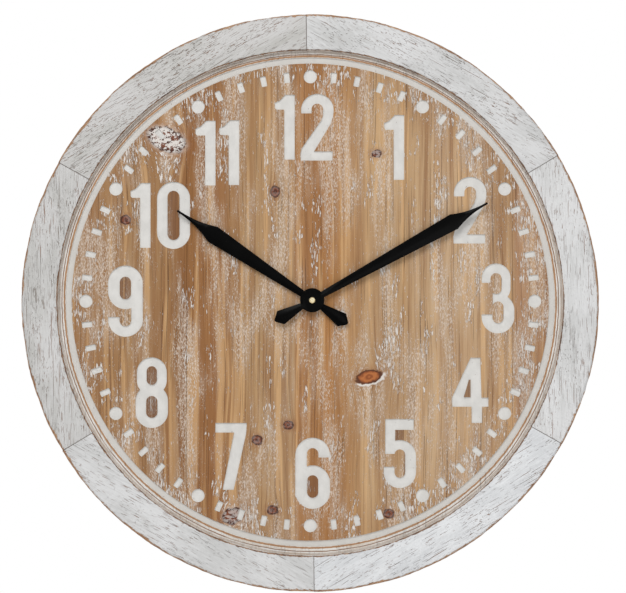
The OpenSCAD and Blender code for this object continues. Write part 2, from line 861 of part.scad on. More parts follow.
// A bar lofted along Y through stations of [distance, half width], roofed by a ridge
module ridged_bar(stations) {
    n = len(stations);
    points = [for (s = stations) let (ridge = lerp(hand_thick, ridge_high, min(1, s[1] / hub_half)))
        each [[-s[1], s[0], 0], [s[1], s[0], 0], [s[1], s[0], hand_thick], [0, s[0], ridge],
            [-s[1], s[0], hand_thick]]];
    sides = [for (i = [0 : n - 2], k = [0 : 4]) let (a = 5 * i + k, b = 5 * i + (k + 1) % 5)
        each [[a, b, b + 5], [a, b + 5, a + 5]]];
    polyhedron(points, concat(sides, [[4, 3, 2, 1, 0]], [[for (k = [0 : 4]) 5 * (n - 1) + k]]));
}

// Stations along a blade, as [distance from the hub, half width]
function blade_stations(start, shoulder, length, wide) = [
    for (r = [start, 40, 80, shoulder - 4]) [r, blade_half(r, shoulder, length, wide)],
    for (i = [0 : 9]) let (r = shoulder + (length - shoulder) * i / 9)
        [r, blade_half(r, shoulder, length, wide)]];

module hand(shoulder, length, wide, hole_r) {
    start = boss_d / 2 - 2;       // the bars begin inside the boss and clear of its hole
    difference() {
        cylinder(h = boss_h, d = boss_d);
        translate([0, 0, -1]) cylinder(h = boss_h + 2, r = hole_r);
    }
    ridged_bar(blade_stations(start, shoulder, length, wide));
    rotate(180) ridged_bar([for (r = [start, boss_d / 2, tail_full * tail_len, tail_len])
        [r, tail_half(r)]]);
}

module hour_hand() {
    color("#151515") on_shaft() translate([0, 0, hour_z]) rotate(-hour_deg)
        hand(hour_shoulder, hour_len, hour_wide, hour_pipe_r);
}

module minute_hand() {
    color("#151515") on_shaft() translate([0, 0, minute_z]) rotate(-minute_deg)
        hand(minute_shoulder, minute_len, minute_wide, arbor_r);
}

module minute_nut() {
    color("goldenrod") on_shaft() translate([0, 0, minute_z + boss_h]) rotate_extrude()
        polygon([[tip_r, 0], [brass_r, 0], [brass_r, brass_h - 0.5], [brass_r - 0.5, brass_h],
            [tip_r, brass_h]]);
}

for (i = [0 : segments - 1])
    rim_segment(i);
rim_dowels();
for (i = [0 : len(board_edges) - 2])
    dial_board(i);
dial_screws();
batten_upper();
batten_lower();
batten_screws();
hanger_plate();
hanger_screws();
wall_bumpers();
movement_front_case();
movement_back_cover();
middle_plate();
shaft_bushing();
bushing_gasket();
bushing_washer();
bushing_nut();
battery();
battery_contact_plus();
battery_contact_minus();
circuit_board();
clock_chip();
quartz_crystal();
stator();
coil_core();
coil_bobbin();
coil_winding();
rotor();
intermediate_wheel();
seconds_wheel();
third_wheel();
centre_wheel();
minute_arbor();
motion_wheel();
hour_wheel();
set_knob();
hour_hand();
minute_hand();
minute_nut();
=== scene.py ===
# %% [markdown]
# # A painted schoolhouse wall clock
# The clock is a 61 cm wooden rim round a carved plank dial, with two steel hands and a small
# quartz movement behind. The CAD model already holds every part at its true size and place, so
# it is loaded first and stays as it is. Blender adds what the CAD cannot: worn edges, wood
# grain, paint and wash. Everything is in metres; the wall is at y = 0 and the dial faces -Y.

# %% Load the frame
import math
from contextlib import contextmanager

import bmesh
import bpy
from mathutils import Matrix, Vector, kdtree, noise


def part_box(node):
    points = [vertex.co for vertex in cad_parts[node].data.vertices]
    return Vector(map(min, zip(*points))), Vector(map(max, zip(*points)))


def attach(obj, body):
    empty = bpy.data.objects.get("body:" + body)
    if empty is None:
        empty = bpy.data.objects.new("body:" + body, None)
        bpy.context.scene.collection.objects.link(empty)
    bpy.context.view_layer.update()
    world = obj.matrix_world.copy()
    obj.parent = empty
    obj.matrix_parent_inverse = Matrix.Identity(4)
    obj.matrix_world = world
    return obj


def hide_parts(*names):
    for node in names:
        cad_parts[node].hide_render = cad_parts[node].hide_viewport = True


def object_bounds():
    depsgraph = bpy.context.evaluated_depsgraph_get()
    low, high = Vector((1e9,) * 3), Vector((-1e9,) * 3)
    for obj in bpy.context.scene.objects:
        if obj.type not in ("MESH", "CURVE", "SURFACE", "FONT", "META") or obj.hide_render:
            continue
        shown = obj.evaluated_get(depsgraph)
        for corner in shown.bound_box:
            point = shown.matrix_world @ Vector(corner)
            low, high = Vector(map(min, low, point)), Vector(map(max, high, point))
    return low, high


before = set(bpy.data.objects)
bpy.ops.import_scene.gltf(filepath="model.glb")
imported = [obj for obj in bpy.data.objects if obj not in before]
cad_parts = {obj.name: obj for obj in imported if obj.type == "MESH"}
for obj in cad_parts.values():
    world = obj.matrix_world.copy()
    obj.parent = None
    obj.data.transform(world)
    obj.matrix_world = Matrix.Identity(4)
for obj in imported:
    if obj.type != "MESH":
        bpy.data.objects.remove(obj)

cad_low, cad_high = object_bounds()
print("CAD box", [round(v, 4) for v in (*cad_low, *cad_high)])

# %% [markdown]
# A hand-made clock has more than one middle. The numbers were routed round a point two
# millimetres above the rim's middle and the ring groove round one a millimetre above it, and
# the hand shaft sits a little to the right. The rim and shaft are measured in the loaded model,
# not typed in, so this file stays true if they move. `mm` turns millimetres into metres.

# %% Places that everything else uses
mm = 0.001
dial_rise, ring_rise = 2.0, 1.0         # mm above the middle of the rim
nut_low, nut_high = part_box("bushing_nut")
shaft_middle = Vector(((nut_low.x + nut_high.x) / 2, 0, (nut_low.z + nut_high.z) / 2))
rim_middle = Vector(((cad_low.x + cad_high.x) / 2, 0, (cad_low.z + cad_high.z) / 2))
dial_middle = rim_middle + Vector((0, 0, dial_rise * mm))
rim_radius = (cad_high.x - cad_low.x) / 2
rim_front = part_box("rim_segment_1")[0].y
dial_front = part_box("dial_board_3")[0].y
print(f"rim radius {rim_radius / mm:.1f} mm, front at {rim_front / mm:.1f} mm, shaft at "
      f"{[round(v / mm, 1) for v in shaft_middle - rim_middle]} mm from the rim's middle")

# %% [markdown]
# ## Camera
# A long lens from two and a half metres keeps the circles round, as in a catalogue picture. The
# lens follows from the width that has to fit at the front of the rim.

# %% Camera
distance, seen_width = 2.5, 0.6602              # metres
sensor = 36.0                                   # mm, a full frame
aside, above = 2.9 * mm, 6.95 * mm              # the aim, from the middle of the rim
bpy.ops.object.camera_add(
    location=(rim_middle.x + aside, rim_front - distance, rim_middle.z + above),
    rotation=(math.radians(90), 0, 0))
camera = bpy.context.object
camera.name = "catalogue_camera"
camera.data.sensor_width = sensor
camera.data.lens = sensor * distance / seen_width
bpy.context.scene.camera = camera
print(f"lens {camera.data.lens:.0f} mm")

# %% [markdown]
# ## Light and floor
# One large soft light above the camera gives the soft shadows below the hands and the shade
# under the top of the rim, a weaker one opens the shadows, and a third stands behind for the
# views of the back. The world is dimmer as a light than as a backdrop, so the backdrop stays
# white while the paint keeps its grey. The floor is a pale disc well below the clock, which
# hangs on a wall.

# %% Soft light, white world, pale floor
def soft_light(name, place, size, watts, target):
    bpy.ops.object.light_add(type="AREA", location=place)
    lamp = bpy.context.object
    lamp.name = name
    lamp.data.shape, lamp.data.size, lamp.data.energy = "DISK", size, watts
    lamp.rotation_euler = (Vector(target) - Vector(place)).to_track_quat("-Z", "Y").to_euler()


soft_light("window_light", (-0.5, -2.3, rim_middle.z + 1.6), 1.5, 36.0, rim_middle)
soft_light("fill_light", (0.9, -2.6, rim_middle.z - 0.3), 1.6, 10.0, rim_middle)
soft_light("wall_side_light", (0.4, 2.4, rim_middle.z + 1.3), 1.6, 32.0, rim_middle)

world = bpy.data.worlds.new("white_studio")
world.use_nodes = True
bpy.context.scene.world = world
links, nodes = world.node_tree.links, world.node_tree.nodes
nodes.clear()
seen, lit = nodes.new("ShaderNodeBackground"), nodes.new("ShaderNodeBackground")
seen.inputs["Strength"].default_value, lit.inputs["Strength"].default_value = 1.0, 0.5
seen.inputs["Color"].default_value = lit.inputs["Color"].default_value = (1, 1, 1, 1)
which, ray = nodes.new("ShaderNodeMixShader"), nodes.new("ShaderNodeLightPath")
links.new(ray.outputs["Is Camera Ray"], which.inputs[0])
links.new(lit.outputs[0], which.inputs[1])
links.new(seen.outputs[0], which.inputs[2])
links.new(which.outputs[0], nodes.new("ShaderNodeOutputWorld").inputs[0])
bpy.context.scene.view_settings.view_transform = "Standard"

floor_radius, floor_drop = 1.1, 0.22            # metres; the drop is from the rim's foot
bpy.ops.mesh.primitive_circle_add(vertices=96, radius=floor_radius, fill_type="NGON",
                                  location=(rim_middle.x, 0, cad_low.z - floor_drop))
floor = bpy.context.object
floor.name = "studio_floor"
print("floor at", round(floor.location.z, 3))

# %% [markdown]
# ## Writing materials as sums
# A procedural material is mostly arithmetic on masks: how worn, how washed, how far from a
# cut. Adding Math nodes by hand hides that arithmetic, so `Wire` wraps a socket and lets Python
# write `1 - mask` or `a * b`, with each sum adding its Math node. Colours and vectors never go
# through Math nodes; they use Mix and Vector Math.

# %% Wire: a socket that can be used in a sum
class Wire:
    def __init__(self, tree, socket):
        self.tree, self.socket = tree, socket

    def sum(self, operation, first, second):
        node = self.tree.nodes.new("ShaderNodeMath")
        node.operation = operation
        for place, value in zip(node.inputs, (first, second)):
            plug(self.tree, value, place)
        return Wire(self.tree, node.outputs[0])

    def __add__(self, other): return self.sum("ADD", self, other)
    def __radd__(self, other): return self.sum("ADD", other, self)
    def __sub__(self, other): return self.sum("SUBTRACT", self, other)
    def __rsub__(self, other): return self.sum("SUBTRACT", other, self)
    def __mul__(self, other): return self.sum("MULTIPLY", self, other)
    def __rmul__(self, other): return self.sum("MULTIPLY", other, self)
    def __truediv__(self, other): return self.sum("DIVIDE", self, other)
    def __rtruediv__(self, other): return self.sum("DIVIDE", other, self)
    def __pow__(self, other): return self.sum("POWER", self, other)
    def smallest(self, other): return self.sum("MINIMUM", self, other)
    def largest(self, other): return self.sum("MAXIMUM", self, other)


def plug(tree, value, socket):
    """Links a wire to a socket, or sets the socket to a number or colour."""
    if isinstance(value, Wire):
        tree.links.new(value.socket, socket)
    else:
        socket.default_value = value


def rgb(red, green, blue):
    """A colour from 0-255 screen values, as the linear colour that a shader wants."""
    linear = [c / 12.92 if c <= 0.04045 else ((c + 0.055) / 1.055) ** 2.4
              for c in (red / 255, green / 255, blue / 255)]
    return (*linear, 1.0)


def far(across, up):
    """How far a point is from the middle."""
    return (across * across + up * up) ** 0.5


print("sums of wires ready; mid grey is", [round(c, 3) for c in rgb(128, 128, 128)])

# %% [markdown]
# `Finish` is a material under construction. `node` adds any node: its settings and ramp stops
# first, then the values or wires of its sockets. Patterns are stated by the size of their
# features in millimetres, because that is what can be measured on real wood.

# %% Finish: a material and its usual steps
class Finish:
    middle = dial_middle        # patterns are laid out from here

    def __init__(self, name, **constants):
        self.material = bpy.data.materials.new(name)
        self.material.use_nodes = True
        self.tree = self.material.node_tree
        self.shader = self.tree.nodes["Principled BSDF"]
        self.set(**constants)

    def set(self, **values):
        """Sets shader sockets; Base_Color stands for the socket Base Color."""
        for name, value in values.items():
            plug(self.tree, value, self.shader.inputs[name.replace("_", " ")])

    def node(self, kind, values=None, out=0, stops=(), **settings):
        """Adds a node and returns the wire of one output, or of each in a tuple."""
        made = self.tree.nodes.new("ShaderNode" + kind)
        for name, value in settings.items():
            setattr(made, name, value)
        if stops:
            row = made.color_ramp.elements
            while len(row) < len(stops):
                row.new(0.5)
            for element, (position, colour) in zip(row, stops):
                element.position, element.color = position, colour
        for socket, value in (values or {}).items():
            plug(self.tree, value, made.inputs[socket])
        if isinstance(out, tuple):
            return [Wire(self.tree, made.outputs[each]) for each in out]
        return Wire(self.tree, made.outputs[out])

    def place(self, size=(1, 1, 1), centre=(0, 0, 0), turn=0.0):
        """Object coordinates from the middle, turned about Y, in units of size mm."""
        where = self.node("TexCoord", out="Object")
        centre = tuple(self.middle[i] + centre[i] * mm for i in range(3))
        return self.node("Mapping", {"Vector": where, "Location": centre,
                                     "Rotation": (0, math.radians(turn), 0),
                                     "Scale": tuple(s * mm for s in size)},
                         vector_type="TEXTURE")

    def xyz(self, **how):
        """Three wires: how far right of, behind and above the middle, in mm or in sizes."""
        return self.node("SeparateXYZ", {0: self.place(**how)}, out=(0, 1, 2))

    def together(self, x, y, z):
        return self.node("CombineXYZ", {0: x, 1: y, 2: z})

    def noise(self, size=(1, 1, 1), seed=0, turn=0.0, detail=2.0, rough=0.5, twist=0.0,
              vector=None):
        if vector is None:
            vector = self.place(size, (seed * 731, seed * 173, seed * 419), turn)
        return self.node("TexNoise", {"Vector": vector, "Scale": 1.0, "Detail": detail,
                                      "Roughness": rough, "Distortion": twist})

    def step(self, value, low, high):
        """0 below low, 1 above high and smooth between; reversed when low > high."""
        return self.node("MapRange", {"Value": value, "From Min": low, "From Max": high},
                         interpolation_type="SMOOTHSTEP")

    def mix(self, share, first, second, kind="MIX"):
        return self.node("Mix", {0: share, 6: first, 7: second}, out=2,
                         data_type="RGBA", blend_type=kind)

    def coats(self, tone, *layers):
        """Covers a tone with layers, first to last: each is (mask, colour)."""
        for mask, colour in layers:
            tone = self.mix(mask, tone, colour)
        return tone

    def ramp(self, value, *stops):
        """Colours along a value: each stop is (position, colour)."""
        return self.node("ValToRGB", {0: value}, stops=stops)

    def relief(self, height, depth):
        """Bump: a height of 0-1 raises the surface by up to depth mm."""
        self.set(Normal=self.node("Bump", {"Height": height, "Distance": depth * mm,
                                           "Strength": 1.0}))
        return self


print("material helpers ready")

# %% [markdown]
# ## Selecting helpers
# An operator works on everything that is selected, so `only` selects one object, and `editing`
# keeps edit mode to the few lines that need it. `pick` selects by place or direction, which is
# what a hand would do with the mouse. `islands` finds what hangs together, as the L key does.

# %% Selecting helpers
def only(piece):
    for other in list(bpy.context.selected_objects):
        other.select_set(False)
    piece.select_set(True)
    bpy.context.view_layer.objects.active = piece
    return piece


def everything():
    bpy.ops.mesh.select_all(action="SELECT")


@contextmanager
def editing(piece):
    only(piece)
    bpy.ops.object.mode_set(mode="EDIT")
    yield
    bpy.ops.object.mode_set(mode="OBJECT")


def pick(piece, part, test):
    """In edit mode: selects the verts, edges or faces that pass the test."""
    bpy.ops.mesh.select_mode(type={"verts": "VERT", "edges": "EDGE", "faces": "FACE"}[part])
    bpy.ops.mesh.select_all(action="DESELECT")
    form = bmesh.from_edit_mesh(piece.data)
    for item in [item for item in getattr(form, part) if test(item)]:
        item.select_set(True)
    bmesh.update_edit_mesh(piece.data)


def islands(items, touching):
    """Groups of items that hang together; touching(item) gives an item's neighbours."""
    left, groups = set(items), []
    while left:
        group, waiting = [], [left.pop()]
        while waiting:
            item = waiting.pop()
            group.append(item)
            for other in touching(item):
                if other in left:
                    left.remove(other)
                    waiting.append(other)
        groups.append(group)
    return groups


print("selecting helpers ready")

# %% [markdown]
# A CAD mesh is loose triangles, so a copy of it is merged before it is shaped. In the end each
# piece gets its finish, is parented to the body it rides on, and hides the CAD parts it replaces.

# %% Copying, cutting and finishing helpers
def copy_of(node, name):
    """A new piece with a CAD node's shape, its loose triangles merged and flats joined."""
    piece = bpy.data.objects.new(name, bpy.data.objects[node].data.copy())
    piece.data.materials.clear()
    bpy.context.scene.collection.objects.link(piece)
    with editing(piece):
        everything()
        bpy.ops.mesh.remove_doubles(threshold=1e-6)
        bpy.ops.mesh.dissolve_limited(angle_limit=math.radians(0.2))
    only(piece)
    bpy.ops.mesh.customdata_custom_splitnormals_clear()
    return piece


def cut(through, across):
    """In edit mode: cuts the whole piece along the plane through a point."""
    everything()
    bpy.ops.mesh.bisect(plane_co=through, plane_no=across)


def turn_all(degrees):
    """In edit mode: turns the whole piece about the Y axis through the origin."""
    everything()
    bpy.ops.transform.rotate(value=math.radians(degrees), orient_axis="Y",
                             center_override=(0, 0, 0))


def coat(piece, finish, test=None):
    """Gives a piece a finish: all of it, or the faces that pass the test."""
    piece.data.materials.append(finish.material)
    if test is None:
        return
    with editing(piece):
        pick(piece, "faces", test)
        piece.active_material_index = len(piece.data.materials) - 1
        bpy.ops.object.material_slot_assign()


def joined(pieces):
    """Makes one piece of several, in the first of them."""
    only(pieces[0])
    for other in pieces[1:]:
        other.select_set(True)
    bpy.ops.object.join()
    return pieces[0]


def smooth(piece, degrees=30):
    only(piece)
    bpy.ops.object.shade_smooth_by_angle(angle=math.radians(degrees))
    return piece


def settle(piece, body, nodes):
    """Parents a piece to the empty of the body it rides on, and hides the CAD nodes it replaces.
    """
    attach(piece, body)
    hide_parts(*nodes)
    print(f"{piece.name}: {len(piece.data.polygons)} faces")


print("finishing helpers ready")

# %% [markdown]
# ## Bare wood
# The backs of the planks, the battens and the inside of the rim were never painted. They are
# pale softwood: fine streaks along the grain, a slow change of tone from ring to ring, and a
# few darker lines. A wave texture would draw rings that are too even, so stretched noises are
# mixed. One function makes it, turned so that the grain follows each board.

# %% Bare softwood
def bare_wood(name, turn=0.0, light=rgb(206, 176, 138), dark=rgb(168, 132, 94), seed=1):
    wood = Finish(name, Specular_IOR_Level=0.3)
    fine = wood.noise((60, 2.0, 0.8), seed, turn, detail=3, rough=0.65)
    rings = wood.noise((420, 12, 7), seed + 1, turn, detail=3, rough=0.6)
    board = wood.noise((600, 90, 45), seed + 3, turn, detail=1)
    lines = wood.step(wood.noise((140, 3, 1.2), seed + 2, turn, detail=1), 0.64, 0.72)
    tone = wood.mix(wood.step(rings * 0.4 + fine * 0.3 + board * 0.3, 0.38, 0.62), dark, light)
    wood.set(Base_Color=wood.mix(lines * 0.4, tone, rgb(120, 84, 56)),
             Roughness=0.62 + fine * 0.2)
    return wood.relief(fine * 0.7 + rings * 0.3 - lines * 0.4, 0.25)


upright_wood = bare_wood("bare_plank_backs", turn=90)
crosswise_wood = bare_wood("batten_softwood", light=rgb(216, 188, 150), seed=4)
print("bare wood:", upright_wood.material.name, "and", crosswise_wood.material.name)

# %% [markdown]
# ## Whitewashed rim
# The rim is six boards sawn to arcs and doweled end to end. Each board has straight grain,
# so its scratches run along its own chord: the finish is turned for each board. Light grey
# paint covers it; dark dashes show where the brush skipped the open grain, and handling has
# worn both edges and the joints back to brown wood. The wear is a mask on the distance from
# the rim's middle, so it needs no unwrapping and follows the edges exactly.

# %% Rim finish
edge_in, edge_out = 266.7, rim_radius / mm      # mm, from the CAD profile of the rim
board_deg = 60                                  # six boards
joint_deg = 30.8                                # the first joint, just above 2 o'clock


def square_to_joint(angle):
    """The direction square to the joint at an angle, counted from 3 o'clock."""
    return Vector((-math.sin(math.radians(angle)), 0, math.cos(math.radians(angle))))


def rim_paint(number, tone, warm, open_grain):
    start, end = joint_deg + board_deg * (number - 1), joint_deg + board_deg * number
    turn = -((start + end) / 2 + 90)
    paint = Finish(f"rim_whitewash_{number}", Specular_IOR_Level=0.35)
    paint.middle = rim_middle
    x, y, z = paint.xyz()
    radius = far(x, z)
    # brushed paint, lighter and darker in short strokes along the grain
    brush = paint.noise((20, 6, 1.6), number, turn, detail=3, rough=0.6)
    cloud = paint.noise((60, 20, 26), number + 10, turn, detail=2)
    body = paint.mix(paint.step(brush * 0.45 + cloud * 0.55, 0.36, 0.62),
                     rgb(tone - 11, tone - 11 - warm / 2, tone - 12 - 1.5 * warm),
                     rgb(tone + 7, tone + 7 - warm / 2, tone + 7 - warm))
    # open grain: soft grey strokes, and dashes where the wood shows
    patch = paint.step(paint.noise((50, 12, 13), number + 40, turn, detail=2), 0.40, 0.62)
    skip = 0.705 - 0.06 * open_grain
    grey = paint.step(paint.noise((12, 4, 0.9), number + 15, turn, detail=3), 0.56, 0.66)
    dash = paint.step(paint.noise((13, 4, 0.85), number + 20, turn, detail=1), skip, skip + 0.02)
    hair = paint.step(paint.noise((44, 8, 0.7), number + 30, turn, detail=1), 0.71, 0.73)
    fleck = paint.step(paint.noise((4, 3, 0.8), number + 35, turn, detail=2),
                       skip - 0.02, skip)
    bare = (dash * (patch * 0.5 + 0.5)).largest(hair).largest(fleck * patch)
    # ragged wear at both edges, the bare wood at the inner edge darker than at the outer, and a
    # fine line at the joints
    ragged = (paint.noise((7, 7, 3.0), number + 50, turn, detail=4, rough=0.7) - 0.5) * 7
    slow = (paint.noise((40, 30, 40), number + 60, turn, detail=1) - 0.5) * 5
    front = y - rim_front / mm                  # millimetres behind the front face
    side = paint.step(radius, edge_out - 0.7, edge_out - 0.3)
    outside = paint.step(radius + ragged + slow, edge_out - 2.6, edge_out - 1.4) * (
        1 - side * paint.step(front + ragged * 2, 2.4, 4.0))
    outside = outside.largest(side * paint.step(y + ragged * 2, -3.0, -1.2))
    inside = paint.step(radius + ragged * 0.5 + slow * 0.3, edge_in + 1.4, edge_in + 0.9)
    first, last = square_to_joint(start), -square_to_joint(end)
    near = (x * first.x + z * first.z).smallest(x * last.x + z * last.z)
    joint = paint.step(near + ragged * 0.16, 0.62, 0.2)
    tint = paint.noise((22, 6, 1.4), number + 70, turn, detail=4, rough=0.6)
    wood = paint.ramp(tint, (0.3, rgb(108, 72, 46)), (0.5, rgb(162, 118, 82)),
                      (0.7, rgb(198, 160, 122)))
    dark_wood = paint.ramp(tint, (0.34, rgb(70, 46, 32)), (0.54, rgb(132, 94, 62)),
                           (0.70, rgb(190, 158, 126)))
    skipped = paint.mix(paint.step(cloud, 0.40, 0.54), rgb(120, 106, 94), rgb(138, 96, 68))
    # the wall of the opening has only a thin coat
    wall = paint.step(radius, edge_in + 0.3, edge_in + 0.1)
    thin = paint.mix(paint.step(tint, 0.36, 0.48), rgb(178, 152, 128), rgb(232, 230, 226))
    coloured = paint.coats(
        body, (grey * (patch * 0.12 + 0.16 * open_grain), rgb(166, 154, 144)),
        (bare * 0.85, skipped), (outside * 0.95, wood), (inside * 0.95, dark_wood),
        (joint * 0.5, rgb(112, 88, 72)), (wall * 0.9, thin))
    paint.set(Base_Color=coloured, Roughness=0.56 + brush * 0.2 + bare * 0.15)
    return paint.relief(brush * 0.35 + cloud * 0.2 - bare * 0.8 - grey * 0.15
                        - outside * 0.3 - inside * 0.3 - joint * 0.6, 0.5)


print(f"rim paint ready, {edge_out - edge_in:.1f} mm wide")

# %% [markdown]
# The board itself starts from the CAD segment, which has its pocket, rabbet and dowel holes.
# It is sliced along its length so that the edges have something to bend, its long edges are
# bevelled, its joint ends are eased, and the worn corners are pushed in by a seeded noise.
# Moving only inwards keeps the clock inside its CAD size.

# %% Rim boards
def from_rim_middle(co):
    """Millimetres from the axis of the rim."""
    return math.hypot(co.x - rim_middle.x, co.z - rim_middle.z) / mm


def rim_board(number):
    slices = 110
    start = joint_deg + board_deg * (number - 1)
    board = copy_of(f"rim_segment_{number}", f"rim_board_{number}")
    with editing(board):
        for i in range(1, slices):
            cut(rim_middle, square_to_joint(start + board_deg * i / slices))

    def long_edge(edge):
        a, b = (from_rim_middle(v.co) for v in edge.verts)
        ya, yb = (v.co.y for v in edge.verts)
        return (abs(a - b) < 0.3 and abs(ya - yb) < 0.1 * mm and edge.calc_length() > 1 * mm
                and (ya < rim_front + 3 * mm or (a > edge_out - 1 and ya > -0.1 * mm)))

    with editing(board):
        pick(board, "edges", long_edge)
        bpy.ops.mesh.bevel(offset=0.5 * mm, segments=2, affect="EDGES", clamp_overlap=True)

    for vertex in board.data.vertices:
        co = vertex.co
        radius = from_rim_middle(co)
        away = Vector((co.x - rim_middle.x, 0, co.z - rim_middle.z)).normalized()
        fine = noise.noise(Vector((co.x, number, co.z)) * 120)
        slow = noise.noise(Vector((co.x, number + 9, co.z)) * 26)
        wear = max(0.0, 0.45 * fine + 0.8 * slow + 0.25)
        if co.y < rim_front + 4 * mm and radius > edge_out - 4:
            co -= away * wear * 1.1 * mm
            co.y += wear * 0.8 * mm if radius < edge_out - 0.8 else 0
        elif co.y < rim_front + 3 * mm and radius < edge_in + 3:
            co += away * wear * 0.8 * mm
            co.y += wear * 0.7 * mm
    for inwards in (square_to_joint(start), -square_to_joint(start + board_deg)):
        for vertex in board.data.vertices:
            co = vertex.co
            if (co - rim_middle).dot(inwards) < 0.05 * mm and co.y < rim_front + 0.6 * mm:
                co += inwards * 0.12 * mm
                co.y += 0.25 * mm
    return board


print("rim board shape ready")

# %% [markdown]
# The boards differ in lightness, warmth and openness of grain: those at the top and left are
# darker and those at the bottom lighter. The back and the wall of the rabbet stay bare.

# %% Six rim boards
rabbet_reach = 278                              # mm, just outside the wall of the rabbet
rim_tones = [(209, 0, 0.6), (198, 3, 0.8), (201, 2, 0.6), (211, 0, 0.4), (221, -3, 0.35),
             (213, 0, 0.3)]                     # lightness, warmth, open grain
for number, (tone, warm, open_grain) in enumerate(rim_tones, 1):
    board = rim_board(number)
    coat(board, rim_paint(number, tone, warm, open_grain))
    middle_deg = joint_deg + board_deg * (number - 0.5)
    raw = bare_wood(f"rim_bare_wood_{number}", -(middle_deg + 90), seed=number + 5)
    coat(board, raw, lambda f: f.normal.y > 0.5 or (
        from_rim_middle(f.calc_center_median()) < rabbet_reach
        and f.calc_center_median().y > dial_front))
    settle(smooth(board), "clock", [f"rim_segment_{number}"])

# %% [markdown]
# ## Dial planks
# Five planks make the dial, with the numbers, dots, ticks and minute ring routed into them. The
# router cuts are real geometry in the CAD; what is missing is wood. A plank is cut into a fine
# grid, the softer grain is sunk a little, and two facts are stored on its vertices for the
# finish: how far each point is from the nearest cut, because wood beside a cut was scraped clean
# of wash, and whether it lies in the closed middle of a number, which is darker.

# %% Plank shapes
grid_x, grid_z = 2.5 * mm, 5.0 * mm
recess_floor = dial_front + 1.6 * mm
biggest_counter = 1200 * mm * mm                # the closed middle of a number is smaller
numbers_end = 245                               # mm from the rim's middle
no_cut_near = 30.0                              # mm; further off, a cut changes nothing
level = 0.01 * mm                               # closer than this is the same height


def plank(number):
    piece = copy_of(f"dial_board_{number}", f"dial_plank_{number}")
    low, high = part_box(f"dial_board_{number}")
    with editing(piece):
        cut((0, dial_front + 0.5 * mm, 0), (0, 1, 0))
        for low_edge, high_edge, pitch, across in ((low.x, high.x, grid_x, (1, 0, 0)),
                                                   (low.z, high.z, grid_z, (0, 0, 1))):
            count = round((high_edge - low_edge) / pitch)
            for i in range(1, count):
                at = low_edge + (high_edge - low_edge) * i / count
                cut(tuple(at * a for a in across), across)
    form = bmesh.new()
    form.from_mesh(piece.data)
    outline = [e for e in form.edges
               if all(abs(v.co.y - dial_front) < level for v in e.verts)
               and any(any(abs(v.co.y - recess_floor) < level for v in f.verts)
                       for f in e.link_faces)]
    tree = kdtree.KDTree(3 * len(outline) + 1)
    tree.insert(Vector((9, 0, 9)), 0)
    for edge in outline:
        a, b = (v.co for v in edge.verts)
        for share in (0, 0.33, 0.67):
            p = a.lerp(b, share)
            tree.insert(Vector((p.x, 0, p.z)), 0)
    tree.balance()
    front = [f for f in form.faces if f.normal.y < -0.9
             and abs(f.calc_center_median().y - dial_front) < level]
    counters = set()
    for island in islands(front, lambda f: [o for e in f.edges for o in e.link_faces]):
        if (sum(f.calc_area() for f in island) < biggest_counter and all(
                from_rim_middle(f.calc_center_median()) < numbers_end for f in island)):
            counters |= {v.index for f in island for v in f.verts}
    from_cut = [min(no_cut_near, tree.find(Vector((v.co.x, 0, v.co.z)))[2] / mm)
                for v in form.verts]
    form.free()
    for name, values in (("from_cut", from_cut),
                         ("in_counter", [float(i in counters) for i in range(len(from_cut))])):
        piece.data.attributes.new(name, "FLOAT", "POINT").data.foreach_set("value", values)
    half_gap = (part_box("dial_board_4")[0].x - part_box("dial_board_3")[1].x) / 2
    for vertex, gap in zip(piece.data.vertices, from_cut):
        co = vertex.co
        if co.y > dial_front + 0.4 * mm:        # the planks touch below their eased edges
            if number > 1 and co.x - low.x < level:
                co.x -= half_gap
            elif number < 5 and high.x - co.x < level:
                co.x += half_gap
        if abs(co.y - dial_front) < level:
            grain = noise.noise(Vector((co.x * 420, number, co.z * 9)))
            swell = noise.noise(Vector((co.x * 60, number, co.z * 6)))
            co.y += max(0.0, 0.5 * grain + 0.5 * swell) * 0.35 * mm * min(1.0, gap / 3)
    print(f"plank {number}: {len(piece.data.vertices)} points, {len(counters)} in counters")
    return piece


print("plank shape ready, routed", round((recess_floor - dial_front) / mm, 1), "mm deep")

# %% [markdown]
# Knots are where branches grew, and the grain flows round them. Noise can't place them, so
# each is written down with its size, lean and share of paint.

# %% Knots
# right and above the middle (mm), width, height, lean (degrees), filled with paint (0-1)
knots = [(-37, 116, 10, 12, 0, 0.35), (70, 156, 11, 8, 0, 0.6), (-152, 171, 40, 24, 22, 1.0),
         (-195, 86, 11, 10, 0, 0.4), (-56, -147, 12, 10, 20, 0.4), (-23, -131, 11, 9, 0, 0.4),
         (-40, -221, 12, 10, 0, 0.4), (-82, -227, 22, 17, -20, 0.7), (62, -80, 28, 14, -14, 0.0),
         (83, -225, 11, 10, 0, 0.4)]


def knot_field(wood):
    """Four wires: the distance to the nearest knot (1 at its edge), how painted the knots
    are, how far the grain bends in mm, and the paint caught on the lip of a clean knot."""
    nearest, painted, bend, lip = 9.0, 0.0, 0.0, 0.0
    jitter = (wood.noise((5, 5, 5), 70, detail=3) - 0.5) * 0.7
    for right, up, width, height, lean, fill in knots:
        u, _, v = wood.xyz(size=(width / 2, 1000, height / 2), centre=(right, 0, up), turn=lean)
        reach = far(u, v)
        push = 1.0 / (1.0 + (u * u + v * v * 0.25) ** 1.5)
        bend = u * push * (-width * 0.42) + bend
        nearest = (reach + jitter).smallest(nearest)
        if fill:
            painted = (wood.step(reach, 1.5, 0.8) * fill).largest(painted)
        else:                       # paint caught below a knot that stands proud
            lip = (wood.step(reach + jitter, 1.0, 1.12) * wood.step(reach + jitter, 1.45, 1.25)
                   * wood.step(v - u * 0.3, -0.1, -0.5)).largest(lip)
    return nearest, painted, bend, lip


print(len(knots), "knots")

